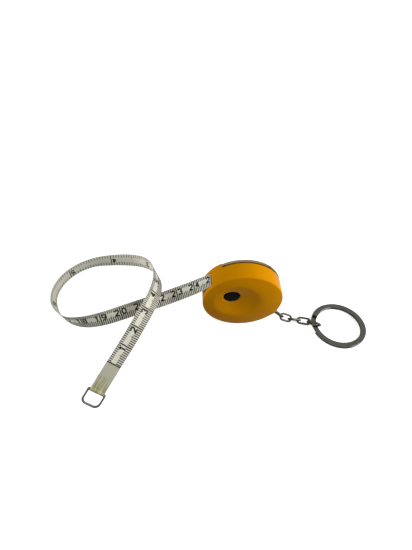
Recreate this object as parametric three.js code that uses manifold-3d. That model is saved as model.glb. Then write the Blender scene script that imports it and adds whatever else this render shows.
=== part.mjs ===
// Key-ring tape measure: a round spring-return case standing on its rim, with its
// band drawn out in one loop, a pull ring on the band's end, and a chain with a split ring.
// Millimetres. The case's axis is Y: the button faces -Y, the flat back is the plane y = 0,
// X runs to the right and Z up. The origin is the centre of the back's flat face.
import * as THREE from 'three';
import { mergeVertices } from 'three/addons/utils/BufferGeometryUtils.js';
import Module from 'manifold-3d';

const wasm = await Module();
wasm.setup();

// Case
const CASE_DIAMETER = 39.6;
const SIDE_WALL = 1.4;
const FRONT_WALL = 0.9;
const DISH_DEPTH = 1.2;
const DISH_RADIUS = 11.2;
const DISH_OFFSET = 3.9;
const EDGE_RADIUS = 1.6;
const BACK_PLATE = 0.8;
const RIM_HEIGHT = 1.75;
const RIM_WALL = 0.65;
const RIM_RADIUS = 0.9;
const SPIGOT_WALL = 0.6;

// Clearances
const SEAT_GAP = 0.1;
const RUN_GAP = 0.4;
const WIRE_GAP = 0.3;
const HOLE_GAP = 0.2;
const EDGE_GAP = 0.25;

// Band and spool
const TAPE_WIDTH = 7.2;
const TAPE_THICKNESS = 0.3;
const HUB_RADIUS = 5.4;
const HUB_WALL = 0.6;
const FLANGE_RADIUS = 10.9;
const FLANGE_THICKNESS = 0.6;
const WOUND_RADIUS = 10.2;
const WEB_THICKNESS = 0.5;
const CAP_THICKNESS = 0.6;
const SPINDLE_RADIUS = 1.5;
const SPINDLE_BORE = 0.95;
const SPINDLE_FOOT_RADIUS = 2.6;
const SPINDLE_FOOT_HEIGHT = 0.7;

// Mainspring and return spring
const STRIP_THICKNESS = 0.15;
const STRIP_PITCH = 0.6;
const SPRING_WIRE = 0.25;
const SPRING_RADIUS = 0.6;
const SPRING_PITCH = 0.68;

// Button and brake
const BUTTON_RADIUS = 3.85;
const BUTTON_RISE = 0.4;
const BUTTON_FLANGE = 0.5;
const BUTTON_FLANGE_THICKNESS = 0.4;
const BUTTON_TRAVEL = 0.8;
const STEM_RADIUS = 0.75;
const STEM_ENGAGED = 0.5;
const PLATE_RADIUS = 3.6;
const PLATE_THICKNESS = 0.5;
const PAD_WIDTH = 1.3;
const PAD_THICKNESS = 0.28;

// Mouth: where the band leaves the side wall, seen from the front
const MOUTH_ANGLE = 141.4;
const MOUTH_HEIGHT = 1.4;
const MOUTH_LENGTH = 10;
const MOUTH_TILT = 206;

// Band's end
const TAB_LENGTH = 13.6;
const TAB_THICKNESS = 0.7;
const TAB_EYE_RADIUS = 1.0;
const TAB_BORE_RADIUS = 0.6;
const RING_WIRE = 0.75;
const PULL_RING_WIDTH = 8.4;
const PULL_RING_LENGTH = 6.7;
const PULL_RING_CORNER = 1.9;

// Chain and split ring
const LINK_WIRE = 0.9;
const LINK_WIDTH = 4.2;
const LINK_PITCH = 5.4;
const ANCHOR_PITCH = 9.1;
const ANCHOR_WIDTH = 3.6;
const END_LINK_WIDTH = 4.7;
const END_LINK_PITCH = 5.4;
const ANCHOR_ANGLE = -31;
const ANCHOR_INSET = 1.5;
const ANCHOR_DEPTH = 7.9;
const ANCHOR_PIN_RADIUS = 0.5;
const NOTCH_WIDTH = 5.4;
const NOTCH_HEIGHT = 4.4;
const LUG_RISE = 0.7;
const LUG_HEIGHT = 5.5;
const LUG_SINK = 0.5;
const SPLIT_DIAMETER = 28;
const SPLIT_BAND = 2.7;
const SPLIT_LAYER = 0.62;
const SPLIT_SLIT = 0.46;
const SPLIT_SLACK = 1.0;
const SPLIT_BEARING = -2;
const SPLIT_TILT = 0.6;
const SPLIT_LEAN = 5.4;
const SPLIT_LAP = 319;
const SPLIT_RAMP = 36;
const SPLIT_START = 200;

// Facets
const LATHE_SEGMENTS = 56;
const SMALL_SEGMENTS = 32;
const WIRE_SIDES = 8;
const LINK_SEGMENTS = 28;
const TAPE_STEPS = 80;

// Route of the drawn-out band, from the winding to its zero mark: middle of the band and
// the way across it, from the edge at the tops of the figures to the other edge
const TAPE_ROUTE = [
  [-9.4, -5.6, 14.3, 0, -1, 0],
  [-15, -5.6, 12, 0, -1, 0],
  [-18.2, -5.6, 9.8, 0.06, -0.99, -0.12],
  [-22.1, -5.6, 7, 0.16, -0.95, -0.27],
  [-30.7, -5.7, 2, 0.23, -0.9, -0.37],
  [-39.8, -6.5, -2, 0.28, -0.84, -0.47],
  [-49.3, -8.8, -3.8, 0.29, -0.76, -0.59],
  [-58.5, -12.5, -3.6, 0.25, -0.67, -0.7],
  [-67.9, -15.9, -3.7, 0.2, -0.53, -0.82],
  [-77.5, -16.5, -5.7, 0.23, -0.33, -0.92],
  [-86.5, -13.7, -8.9, 0.31, -0.1, -0.94],
  [-94, -7.9, -12, 0.35, -0.04, -0.94],
  [-99.6, 0, -14.3, 0.3, -0.05, -0.95],
  [-101.9, 9.5, -15.6, 0.09, -0.08, -0.99],
  [-99.4, 19.1, -16, 0.02, -0.04, -1],
  [-93.1, 26.8, -16.1, 0, 0, -1],
  [-84.4, 31.6, -16.1, 0, -0.05, -1],
  [-74.6, 33.3, -16.3, 0.02, -0.3, -0.95],
  [-64.7, 33.2, -16.1, 0.01, -0.48, -0.87],
  [-55.7, 29.9, -14.1, 0.02, -0.51, -0.86],
  [-49.4, 23.3, -10, 0.14, -0.43, -0.89],
  [-45.4, 15.4, -5.5, 0.33, -0.33, -0.88],
  [-43.2, 6.6, -1.5, 0.52, -0.25, -0.81],
  [-43, -2.9, 1.5, 0.65, -0.22, -0.73],
  [-45.5, -12.5, 2, 0.74, -0.24, -0.63],
  [-49.9, -21.3, 0.1, 0.81, -0.29, -0.5],
  [-54.9, -29.3, -3.4, 0.82, -0.33, -0.46],
  [-61.4, -38.5, -8.2, 0.78, -0.25, -0.57],
];
const TAB_DIRECTION = new THREE.Vector3(-0.533, -0.733, -0.427);
const TAB_ACROSS = new THREE.Vector3(0.78, -0.25, -0.57);

// Lie of the chain from the case to the split ring: the way each link runs, and a hint of
// the way its flat side faces
const CHAIN = [
  { name: 'anchor_link', run: [0.776, -0.334, -0.536], face: [0.4, 0.8, 0.45] },
  { name: 'chain_link_1', run: [0.893, -0.064, -0.447], face: [0.3, -0.66, 0.69] },
  { name: 'chain_link_2', run: [0.925, 0.074, -0.37], face: [0.2, 0.85, 0.48] },
  { name: 'chain_link_3', run: [0.95, -0.3, 0.115], face: [0, -0.15, 0.99] },
  { name: 'chain_link_4', run: [0.925, -0.375, -0.03], face: [0.37, 0.89, 0.27] },
];

// Places worked out from the sizes, from the back plate forward
const caseRadius = CASE_DIAMETER / 2;
const innerRadius = caseRadius - SIDE_WALL;
const yPlate = -BACK_PLATE;
const yFlangeBack = yPlate - RUN_GAP;
const yFlangeFront = yFlangeBack - FLANGE_THICKNESS;
const yTapeBack = yFlangeFront - EDGE_GAP;
const yTapeFront = yTapeBack - TAPE_WIDTH;
const yInnerFace = yTapeFront - EDGE_GAP;
const yDish = yInnerFace - FRONT_WALL;
const yFront = yDish - DISH_DEPTH;
const yButtonFlangeFront = yInnerFace + SEAT_GAP;
const yButtonFlangeBack = yButtonFlangeFront + BUTTON_FLANGE_THICKNESS;
const yCapFront = yButtonFlangeBack + BUTTON_TRAVEL + HOLE_GAP;
const yCapBack = yCapFront + CAP_THICKNESS;
const yPadFront = yCapBack + SEAT_GAP;
const yPadBack = yPadFront + PAD_THICKNESS;
const yPlateFront = yPadBack + SEAT_GAP / 2;
const yPlateBack = yPlateFront + PLATE_THICKNESS;
const yWebFront = yPlateBack + BUTTON_TRAVEL + HOLE_GAP;
const yWebBack = yWebFront + WEB_THICKNESS;
const ySpindleFoot = yPlate - SEAT_GAP;
const ySpindleTop = yPlateBack + BUTTON_TRAVEL + SEAT_GAP;
const yStemEnd = ySpindleTop + STEM_ENGAGED;
const yBoreFloor = ySpindleFoot - SPINDLE_FOOT_HEIGHT - SPINDLE_BORE / 2;
const spoolOffset = innerRadius - FLANGE_RADIUS - HOLE_GAP - EDGE_GAP;

const radians = THREE.MathUtils.degToRad;
const onCircle = (radius, degrees, y = 0) =>
  new THREE.Vector3(radius * Math.cos(radians(degrees)), y, radius * Math.sin(radians(degrees)));
const spool = onCircle(spoolOffset, MOUTH_ANGLE);
const dishCentre = onCircle(DISH_OFFSET, MOUTH_ANGLE);

// Solids

/** One closed skin with only positions, its shared corners merged and its faces outward. */
function solid(geometry) {
  for (const name of Object.keys(geometry.attributes)) {
    if (name !== 'position') geometry.deleteAttribute(name);
  }
  const merged = mergeVertices(geometry, 1e-4);
  const p = merged.attributes.position;
  const index = merged.index.array;
  const [a, b, c] = [new THREE.Vector3(), new THREE.Vector3(), new THREE.Vector3()];
  const kept = [];
  let volume = 0;
  for (let i = 0; i < index.length; i += 3) {
    const [u, v, w] = [index[i], index[i + 1], index[i + 2]];
    if (u === v || v === w || w === u) continue;
    kept.push(u, v, w);
    a.fromBufferAttribute(p, u);
    b.fromBufferAttribute(p, v);
    c.fromBufferAttribute(p, w);
    volume += a.dot(b.cross(c));
  }
  if (volume < 0) kept.reverse();
  merged.setIndex(kept);
  return merged;
}

/** A closed profile of [radius, y] points turned about a Y axis through x, z. */
function turned(profile, at = new THREE.Vector3(), segments = SMALL_SEGMENTS) {
  const points = profile.map(([r, y]) => new THREE.Vector2(r, y));
  const [first, last] = [points[0], points[points.length - 1]];
  if (first.x > 0 || last.x > 0) points.push(first.clone());
  return solid(new THREE.LatheGeometry(points, segments).translate(at.x, 0, at.z));
}

/** A skin through rings of points, capped at its ends or joined into a loop. */
function loft(rings, closed = false) {
  const sides = rings[0].length;
  const position = rings.flat().flatMap((v) => [v.x, v.y, v.z]);
  const index = [];
  const spans = closed ? rings.length : rings.length - 1;
  for (let i = 0; i < spans; i++) {
    const near = i * sides;
    const far = ((i + 1) % rings.length) * sides;
    for (let j = 0; j < sides; j++) {
      const k = (j + 1) % sides;
      index.push(near + j, near + k, far + k, near + j, far + k, far + j);
    }
  }
  if (!closed) {
    const end = (rings.length - 1) * sides;
    for (let j = 1; j < sides - 1; j++) index.push(0, j + 1, j, end, end + j, end + j + 1);
  }
  const geometry = new THREE.BufferGeometry();
  geometry.setAttribute('position', new THREE.Float32BufferAttribute(position, 3));
  geometry.setIndex(index);
  return solid(geometry);
}

/** The four corners of a flat section: its middle, the ways across and through it, its half sizes. */
function flatSection(middle, across, through, halfAcross, halfThrough) {
  const corner = (i, j) =>
    middle.clone().addScaledVector(across, i * halfAcross).addScaledVector(through, j * halfThrough);
  return [corner(1, 1), corner(-1, 1), corner(-1, -1), corner(1, -1)];
}

/** A round section in the plane of two directions. */
function roundSection(middle, across, through, radius) {
  return Array.from({ length: WIRE_SIDES }, (_, i) => {
    const turn = (2 * Math.PI * i) / WIRE_SIDES;
    return middle
      .clone()
      .addScaledVector(across, radius * Math.cos(turn))
      .addScaledVector(through, radius * Math.sin(turn));
  });
}

function toManifold(geometry) {
  const vertProperties = new Float32Array(geometry.attributes.position.array);
  const triVerts = new Uint32Array(geometry.index.array);
  return new wasm.Manifold(new wasm.Mesh({ numProp: 3, vertProperties, triVerts }));
}

function fromManifold(body) {
  const { vertProperties, triVerts } = body.getMesh();
  const geometry = new THREE.BufferGeometry();
  geometry.setAttribute('position', new THREE.BufferAttribute(new Float32Array(vertProperties), 3));
  geometry.setIndex(new THREE.BufferAttribute(new Uint32Array(triVerts), 1));
  return solid(geometry);
}

function cut(geometry, ...tools) {
  return fromManifold(tools.reduce((body, tool) => body.subtract(toManifold(tool)), toManifold(geometry)));
}

function joined(geometry, other) {
  return fromManifold(toManifold(geometry).add(toManifold(other)));
}

/** The least gap between the turns of a wire, given its middle points and how thick it is. */
function leastGap(points, perTurn, thickness) {
  let least = Infinity;
  for (let i = 0; i < points.length; i++) {
    for (let j = i + Math.floor(perTurn / 2); j < points.length; j++) {
      least = Math.min(least, points[i].distanceTo(points[j]));
    }
  }
  return least - thickness;
}

// Case pieces

const dishAt = (radius) => DISH_DEPTH * (1 - (radius / DISH_RADIUS) ** 2);

function frontShell() {
  const edgeSteps = 5;
  const edge = Array.from({ length: edgeSteps + 1 }, (_, i) => {
    const turn = (Math.PI / 2) * (i / edgeSteps);
    const [out, back] = [Math.sin(turn), 1 - Math.cos(turn)];
    return [caseRadius - EDGE_RADIUS + EDGE_RADIUS * out, yFront + EDGE_RADIUS * back];
  });
  const spigotOuter = innerRadius + SPIGOT_WALL;
  const wall = [
    [caseRadius, -RIM_HEIGHT - SEAT_GAP],
    [spigotOuter, -RIM_HEIGHT - SEAT_GAP],
    [spigotOuter, yPlate - SEAT_GAP],
    [innerRadius, yPlate - SEAT_GAP],
    [innerRadius, yInnerFace],
  ];
  const cup = turned([[0, yFront], ...edge, ...wall, [0, yInnerFace]], undefined, LATHE_SEGMENTS);

  const dishSteps = 8;
  const bowl = Array.from({ length: dishSteps + 1 }, (_, i) => {
    const radius = (DISH_RADIUS * i) / dishSteps;
    return [radius, yFront + dishAt(radius)];
  });
  const yOutside = yFront - SIDE_WALL;
  const bowlTool = [...bowl, [DISH_RADIUS, yOutside], [0, yOutside]];
  const dish = turned(bowlTool, dishCentre, LATHE_SEGMENTS);

  const hole = new THREE.CylinderGeometry(
    BUTTON_RADIUS + HOLE_GAP,
    BUTTON_RADIUS + HOLE_GAP,
    2 * (FRONT_WALL + DISH_DEPTH),
    SMALL_SEGMENTS,
  ).translate(spool.x, yInnerFace - FRONT_WALL, spool.z);

  const mouthAt = onCircle(caseRadius - SIDE_WALL / 2, MOUTH_ANGLE, (yTapeBack + yTapeFront) / 2);
  const mouth = new THREE.BoxGeometry(MOUTH_LENGTH, TAPE_WIDTH + 2 * EDGE_GAP, MOUTH_HEIGHT)
    .rotateY(radians(-MOUTH_TILT))
    .translate(mouthAt.x, mouthAt.y, mouthAt.z);

  const notchAt = onCircle(caseRadius - SIDE_WALL / 2, ANCHOR_ANGLE, -ANCHOR_DEPTH - SIDE_WALL / 2);
  const notch = new THREE.BoxGeometry(3 * SIDE_WALL, NOTCH_HEIGHT, NOTCH_WIDTH)
    .rotateY(radians(-ANCHOR_ANGLE))
    .translate(notchAt.x, notchAt.y, notchAt.z);
  return cut(joined(cup, chainLug()), dish, solid(hole), solid(mouth), solid(notch));
}

/** The low corner on the side wall that the chain leaves from. */
function chainLug() {
  const reach = THREE.MathUtils.radToDeg(Math.acos(caseRadius / (caseRadius + LUG_RISE)));
  const at = (radius, turn) => {
    const p = onCircle(radius, ANCHOR_ANGLE + turn);
    return new THREE.Vector2(p.x, p.z);
  };
  const arcSteps = 6;
  const rootArc = Array.from({ length: arcSteps + 1 }, (_, i) =>
    at(caseRadius - LUG_SINK, reach * (1 - (2 * i) / arcSteps)),
  );
  const outline = new THREE.Shape([at(caseRadius + LUG_RISE, 0), ...rootArc]);
  return solid(
    new THREE.ExtrudeGeometry(outline, { depth: LUG_HEIGHT, bevelEnabled: false })
      .rotateX(Math.PI / 2)
      .translate(0, yFront + EDGE_RADIUS / 2 + LUG_HEIGHT, 0),
  );
}

function backCover() {
  const edgeSteps = 4;
  const edge = Array.from({ length: edgeSteps + 1 }, (_, i) => {
    const turn = (Math.PI / 2) * (i / edgeSteps);
    return [caseRadius - RIM_RADIUS + RIM_RADIUS * Math.sin(turn), -RIM_RADIUS * (1 - Math.cos(turn))];
  });
  const skirt = caseRadius - RIM_WALL;
  const inside = [[skirt, -RIM_HEIGHT], [skirt, yPlate], [0, yPlate]];
  const profile = [[0, 0], ...edge, [caseRadius, -RIM_HEIGHT], ...inside];
  return turned(profile, undefined, LATHE_SEGMENTS);
}

function spindle() {
  const foot = ySpindleFoot - SPINDLE_FOOT_HEIGHT;
  const profile = [
    [0, ySpindleFoot],
    [SPINDLE_FOOT_RADIUS, ySpindleFoot],
    [SPINDLE_FOOT_RADIUS, foot],
    [SPINDLE_RADIUS, foot],
    [SPINDLE_RADIUS, ySpindleTop],
    [SPINDLE_BORE, ySpindleTop],
    [SPINDLE_BORE, yBoreFloor],
    [0, yBoreFloor],
  ];
  return turned(profile, spool);
}

// Spool pieces

function spoolDrum() {
  const hubInner = HUB_RADIUS - HUB_WALL;
  const footHole = SPINDLE_FOOT_RADIUS + HOLE_GAP;
  const bearing = SPINDLE_RADIUS + SEAT_GAP;
  const profile = [
    [footHole, yFlangeBack],
    [FLANGE_RADIUS, yFlangeBack],
    [FLANGE_RADIUS, yFlangeFront],
    [HUB_RADIUS, yFlangeFront],
    [HUB_RADIUS, yTapeFront],
    [hubInner, yTapeFront],
    [hubInner, yWebFront],
    [bearing, yWebFront],
    [bearing, yWebBack],
    [hubInner, yWebBack],
    [hubInner, yFlangeFront],
    [footHole, yFlangeFront],
  ];
  return turned(profile, spool, LATHE_SEGMENTS);
}

function drumCap() {
  const rim = HUB_RADIUS - HUB_WALL - SEAT_GAP;
  const bore = STEM_RADIUS + HOLE_GAP;
  return turned([[bore, yCapFront], [rim, yCapFront], [rim, yCapBack], [bore, yCapBack]], spool);
}

function tapeWinding() {
  const steps = LATHE_SEGMENTS;
  const bore = HUB_RADIUS + SEAT_GAP;
  const rings = Array.from({ length: steps + 1 }, (_, i) => {
    const out = onCircle(1, MOUTH_ANGLE - (360 * i) / steps);
    const outer = WOUND_RADIUS - (TAPE_THICKNESS * i) / steps;
    return [[bore, yTapeBack], [outer, yTapeBack], [outer, yTapeFront], [bore, yTapeFront]].map(([r, y]) =>
      new THREE.Vector3(spool.x + r * out.x, y, spool.z + r * out.z),
    );
  });
  const closing = rings.pop();
  const step = rings[0].map((v, i) => (i === 1 || i === 2 ? closing[i] : v));
  return loft([...rings, step], true);
}

function spiralStrip() {
  const perTurn = 24;
  const startRadius = SPINDLE_RADIUS + HOLE_GAP + STRIP_THICKNESS / 2;
  const endRadius = HUB_RADIUS - HUB_WALL - HOLE_GAP - STRIP_THICKNESS / 2;
  const steps = Math.floor((perTurn * (endRadius - startRadius)) / STRIP_PITCH);
  const yMiddle = (yFlangeFront + yWebBack) / 2;
  const halfHeight = (yFlangeFront - yWebBack) / 2 - EDGE_GAP;
  const up = new THREE.Vector3(0, 1, 0);
  const middles = [];
  const rings = Array.from({ length: steps + 1 }, (_, i) => {
    const out = onCircle(1, (360 * i) / perTurn);
    const middle = out.clone().multiplyScalar(startRadius + (STRIP_PITCH * i) / perTurn).add(spool);
    middle.y = yMiddle;
    middles.push(middle);
    return flatSection(middle, up, out, halfHeight, STRIP_THICKNESS / 2);
  });
  console.log('mainspring least gap', leastGap(middles, perTurn, STRIP_THICKNESS).toFixed(2), 'mm');
  return loft(rings);
}

// Button pieces

function brakeButton() {
  const yLocal = yFront + dishAt(spoolOffset - DISH_OFFSET);
  const yTop = yLocal - BUTTON_RISE;
  const domeSteps = 5;
  const shoulder = BUTTON_RISE / 2;
  const dome = Array.from({ length: domeSteps + 1 }, (_, i) => {
    const turn = (Math.PI / 2) * (i / domeSteps);
    return [BUTTON_RADIUS * Math.sin(turn), yTop + shoulder * (1 - Math.cos(turn))];
  });
  const flange = BUTTON_RADIUS + BUTTON_FLANGE;
  const profile = [
    ...dome,
    [BUTTON_RADIUS, yButtonFlangeFront],
    [flange, yButtonFlangeFront],
    [flange, yButtonFlangeBack],
    [STEM_RADIUS, yButtonFlangeBack],
    [STEM_RADIUS, yStemEnd],
    [0, yStemEnd],
  ];
  return turned(profile, spool);
}

function washer(bore, rim, yNear, yFar) {
  return turned([[bore, yNear], [rim, yNear], [rim, yFar], [bore, yFar]], spool);
}

function returnSpring() {
  const perTurn = 12;
  const yStart = yBoreFloor - SPRING_WIRE;
  const yEnd = yStemEnd + SPRING_WIRE;
  const steps = Math.floor((perTurn * (yStart - yEnd)) / SPRING_PITCH);
  const up = new THREE.Vector3(0, 1, 0);
  const middles = [];
  const rings = Array.from({ length: steps + 1 }, (_, i) => {
    const out = onCircle(1, (360 * i) / perTurn);
    const middle = out.clone().multiplyScalar(SPRING_RADIUS).add(spool);
    middle.y = yStart - ((yStart - yEnd) * i) / steps;
    middles.push(middle);
    return roundSection(middle, out, up, SPRING_WIRE / 2);
  });
  console.log('return spring least gap', leastGap(middles, perTurn, SPRING_WIRE).toFixed(2), 'mm');
  return loft(rings);
}

// Band, its end tab and pull ring

function tapeFree() {
  const middles = new THREE.CatmullRomCurve3(TAPE_ROUTE.map(([x, y, z]) => new THREE.Vector3(x, y, z)));
  const acrosses = new THREE.CatmullRomCurve3(TAPE_ROUTE.map((p) => new THREE.Vector3(p[3], p[4], p[5])));
  const rings = Array.from({ length: TAPE_STEPS + 1 }, (_, i) => {
    const t = i / TAPE_STEPS;
    const along = middles.getTangent(t);
    const across = acrosses.getPoint(t);
    across.addScaledVector(along, -across.dot(along)).normalize();
    const through = new THREE.Vector3().crossVectors(along, across);
    return flatSection(middles.getPoint(t), across, through, TAPE_WIDTH / 2, TAPE_THICKNESS / 2);
  });
  return loft(rings);
}

/** The frame of the band's end: x across it, y along it towards its end, z through it. */
function endFrame() {
  const along = TAB_DIRECTION.clone().normalize();
  const across = TAB_ACROSS.clone().addScaledVector(along, -TAB_ACROSS.dot(along)).normalize();
  const through = new THREE.Vector3().crossVectors(across, along);
  const [x, y, z] = TAPE_ROUTE[TAPE_ROUTE.length - 1];
  return new THREE.Matrix4().makeBasis(across, along, through).setPosition(x, y, z);
}

function endTab() {
  const half = TAB_THICKNESS / 2;
  const meet = Math.asin(half / TAB_EYE_RADIUS);
  const outline = new THREE.Shape();
  outline.moveTo(WIRE_GAP, half);
  outline.lineTo(WIRE_GAP, -half);
  outline.absarc(TAB_LENGTH, 0, TAB_EYE_RADIUS, Math.PI + meet, Math.PI - meet + 2 * Math.PI, false);
  outline.closePath();
  const bore = new THREE.Path();
  bore.absarc(TAB_LENGTH, 0, TAB_BORE_RADIUS, 0, 2 * Math.PI, true);
  outline.holes.push(bore);
  const settings = { depth: TAPE_WIDTH, bevelEnabled: false, curveSegments: 10 };
  const flat = new THREE.ExtrudeGeometry(outline, settings);
  const turn = new THREE.Matrix4().makeBasis(
    new THREE.Vector3(0, 1, 0),
    new THREE.Vector3(0, 0, 1),
    new THREE.Vector3(1, 0, 0),
  );
  return solid(flat.translate(0, 0, -TAPE_WIDTH / 2).applyMatrix4(turn).applyMatrix4(endFrame()));
}

function pullRing() {
  const [w, l, c] = [PULL_RING_WIDTH / 2, PULL_RING_LENGTH, PULL_RING_CORNER];
  const barCorner = RING_WIRE;
  const line = new THREE.Shape();
  line.moveTo(-w + barCorner, 0);
  line.lineTo(w - barCorner, 0);
  line.absarc(w - barCorner, barCorner, barCorner, -Math.PI / 2, 0, false);
  line.lineTo(w, l - c);
  line.absarc(w - c, l - c, c, 0, Math.PI / 2, false);
  line.lineTo(-w + c, l);
  line.absarc(-w + c, l - c, c, Math.PI / 2, Math.PI, false);
  line.lineTo(-w, barCorner);
  line.absarc(-w + barCorner, barCorner, barCorner, Math.PI, 1.5 * Math.PI, false);
  const points = line.getPoints(5).filter((p, i, all) => i === 0 || p.distanceTo(all[i - 1]) > SEAT_GAP / 2);
  if (points[0].distanceTo(points[points.length - 1]) < SEAT_GAP / 2) points.pop();
  const normal = new THREE.Vector3(0, 0, 1);
  const rings = points.map((p, i) => {
    const before = points[(i + points.length - 1) % points.length];
    const after = points[(i + 1) % points.length];
    const along = after.clone().sub(before).normalize();
    const out = new THREE.Vector3(along.y, -along.x, 0);
    return roundSection(new THREE.Vector3(p.x, p.y + TAB_LENGTH, 0), out, normal, RING_WIRE / 2);
  });
  return solid(loft(rings, true).applyMatrix4(endFrame()));
}

// Chain and split ring

function chainLinks() {
  const pin = onCircle(innerRadius - ANCHOR_INSET, ANCHOR_ANGLE, -ANCHOR_DEPTH);
  const touch = (LINK_WIRE + WIRE_GAP) / 2;
  const pinTouch = ANCHOR_PIN_RADIUS + WIRE_GAP + LINK_WIRE / 2;
  let joint = pin;
  return CHAIN.map(({ name, run, face }, i) => {
    const along = new THREE.Vector3(...run).normalize();
    const across = new THREE.Vector3(...face).cross(along).normalize();
    const flat = new THREE.Vector3().crossVectors(along, across);
    const isFirst = i === 0;
    const isLast = i === CHAIN.length - 1;
    const pitch = isFirst ? ANCHOR_PITCH : isLast ? END_LINK_PITCH : LINK_PITCH;
    const width = isFirst ? ANCHOR_WIDTH : isLast ? END_LINK_WIDTH : LINK_WIDTH;
    const next = joint.clone().addScaledVector(along, pitch);
    const head = joint.clone().addScaledVector(along, isFirst ? -pinTouch : -touch);
    const tail = next.clone().addScaledVector(along, touch);
    const bend = (width - LINK_WIRE) / 2;
    const straight = head.distanceTo(tail) / 2 - bend;
    const ring = new THREE.TorusGeometry(bend, LINK_WIRE / 2, WIRE_SIDES, LINK_SEGMENTS);
    const p = ring.attributes.position;
    for (let k = 0; k < p.count; k++) {
      const x = p.getX(k);
      if (Math.abs(x) > 1e-3) p.setX(k, x + Math.sign(x) * straight);
    }
    const middle = head.add(tail).multiplyScalar(0.5);
    const place = new THREE.Matrix4().makeBasis(along, across, flat).setPosition(middle);
    joint = next;
    return { name, to: next, geometry: solid(ring.applyMatrix4(place)) };
  });
}

const links = chainLinks();

/** The ring's middle and the ways along it from the chain, across it, and up through it. */
function splitFrame() {
  const level = new THREE.Vector3(Math.cos(radians(SPLIT_BEARING)), Math.sin(radians(SPLIT_BEARING)), 0);
  const side = new THREE.Vector3(-level.y, level.x, 0);
  const away = level.clone().applyAxisAngle(side, radians(SPLIT_TILT));
  side.applyAxisAngle(away, radians(-SPLIT_LEAN));
  const up = new THREE.Vector3().crossVectors(away, side);
  const innerEdge = SPLIT_DIAMETER / 2 - SPLIT_BAND;
  const held = links[links.length - 1].to;
  const middle = held.clone().addScaledVector(away, innerEdge - WIRE_GAP / 2 - SPLIT_SLACK);
  return { away, side, up, middle };
}

function splitRing() {
  const { away, side, up, middle } = splitFrame();
  const stepsPerTurn = 60;
  const total = 2 * SPLIT_LAP + SPLIT_RAMP;
  const steps = Math.round((stepsPerTurn * total) / 360);
  const rise = SPLIT_LAYER + SPLIT_SLIT;
  const radius = (SPLIT_DIAMETER - SPLIT_BAND) / 2;
  const middles = [];
  const rings = Array.from({ length: steps + 1 }, (_, i) => {
    const turn = (total * i) / steps;
    const climb = THREE.MathUtils.smoothstep(turn, SPLIT_LAP, SPLIT_LAP + SPLIT_RAMP);
    const at = radians(SPLIT_START + turn);
    const out = away.clone().multiplyScalar(Math.cos(at)).addScaledVector(side, Math.sin(at));
    const point = middle.clone().addScaledVector(out, radius).addScaledVector(up, rise * (climb - 0.5));
    middles.push(point);
    return flatSection(point, out, up, SPLIT_BAND / 2, SPLIT_LAYER / 2);
  });
  console.log('split ring least gap', leastGap(middles, stepsPerTurn, SPLIT_LAYER).toFixed(2), 'mm');
  return loft(rings);
}

function anchorPin() {
  const at = onCircle(innerRadius - ANCHOR_INSET, ANCHOR_ANGLE);
  const [yBack, yNear] = [yPlate - SEAT_GAP, yInnerFace + SEAT_GAP];
  return turned([[0, yBack], [ANCHOR_PIN_RADIUS, yBack], [ANCHOR_PIN_RADIUS, yNear], [0, yNear]], at);
}

// Materials and assembly

const finish = (color, roughness, metalness) =>
  new THREE.MeshStandardMaterial({ color, roughness, metalness, side: THREE.FrontSide });
const amber = finish(0xeba50f, 0.25, 0);
const chrome = finish(0xd8d8d4, 0.12, 1);
const black = finish(0x0c0c0e, 0.15, 0);
const steel = finish(0x6c6c68, 0.35, 1);
const spring = finish(0x8a8c90, 0.3, 1);
const nylon = finish(0xd9d6c8, 0.5, 0);
const rubber = finish(0x1c1c1c, 0.9, 0);
const cream = finish(0xcfcdb4, 0.6, 0);
const clear = finish(0xa8a684, 0.4, 0);

const tapeMeasure = new THREE.Group();

function add(name, geometry, material) {
  const mesh = new THREE.Mesh(geometry, material);
  mesh.name = name;
  tapeMeasure.add(mesh);
}

add('front_shell', frontShell(), amber);
add('back_cover', backCover(), chrome);
add('spindle', spindle(), steel);
add('spool_drum', spoolDrum(), nylon);
add('drum_cap', drumCap(), nylon);
add('mainspring', spiralStrip(), spring);
add('tape_winding', tapeWinding(), cream);
add('brake_button', brakeButton(), black);
add('brake_plate', washer(STEM_RADIUS + SEAT_GAP / 2, PLATE_RADIUS, yPlateFront, yPlateBack), steel);
add('brake_pad', washer(PLATE_RADIUS - PAD_WIDTH, PLATE_RADIUS, yPadFront, yPadBack), rubber);
add('return_spring', returnSpring(), spring);
add('tape_free', tapeFree(), cream);
add('end_tab', endTab(), clear);
add('pull_ring', pullRing(), steel);
add('anchor_pin', anchorPin(), steel);
for (const { name, geometry } of links) add(name, geometry, steel);
add('split_ring', splitRing(), steel);

export default tapeMeasure;
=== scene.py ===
"""Looks of the key-ring tape measure: materials, printed band, fine solids, light and camera.

Sizes are in millimetres in the part's frame until they reach a mesh, which is in metres.
"""

import math
from bisect import bisect_left

import bmesh
import bpy
from mathutils import Matrix, Vector


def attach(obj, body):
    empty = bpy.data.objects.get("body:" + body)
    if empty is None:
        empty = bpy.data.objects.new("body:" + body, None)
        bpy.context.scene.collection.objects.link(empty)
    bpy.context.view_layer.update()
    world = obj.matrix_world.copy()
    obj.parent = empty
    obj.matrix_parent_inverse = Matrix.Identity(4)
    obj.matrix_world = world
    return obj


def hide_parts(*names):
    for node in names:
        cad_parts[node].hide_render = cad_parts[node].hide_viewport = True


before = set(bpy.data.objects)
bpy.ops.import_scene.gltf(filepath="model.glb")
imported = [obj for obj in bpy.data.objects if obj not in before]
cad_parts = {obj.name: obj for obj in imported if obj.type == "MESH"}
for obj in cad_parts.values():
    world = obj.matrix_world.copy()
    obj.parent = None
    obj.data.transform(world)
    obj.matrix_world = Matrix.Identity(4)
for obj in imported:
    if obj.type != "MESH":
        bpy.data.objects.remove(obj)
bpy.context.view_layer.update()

MM = 0.001
WELD_DISTANCE = 0.0005
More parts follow.
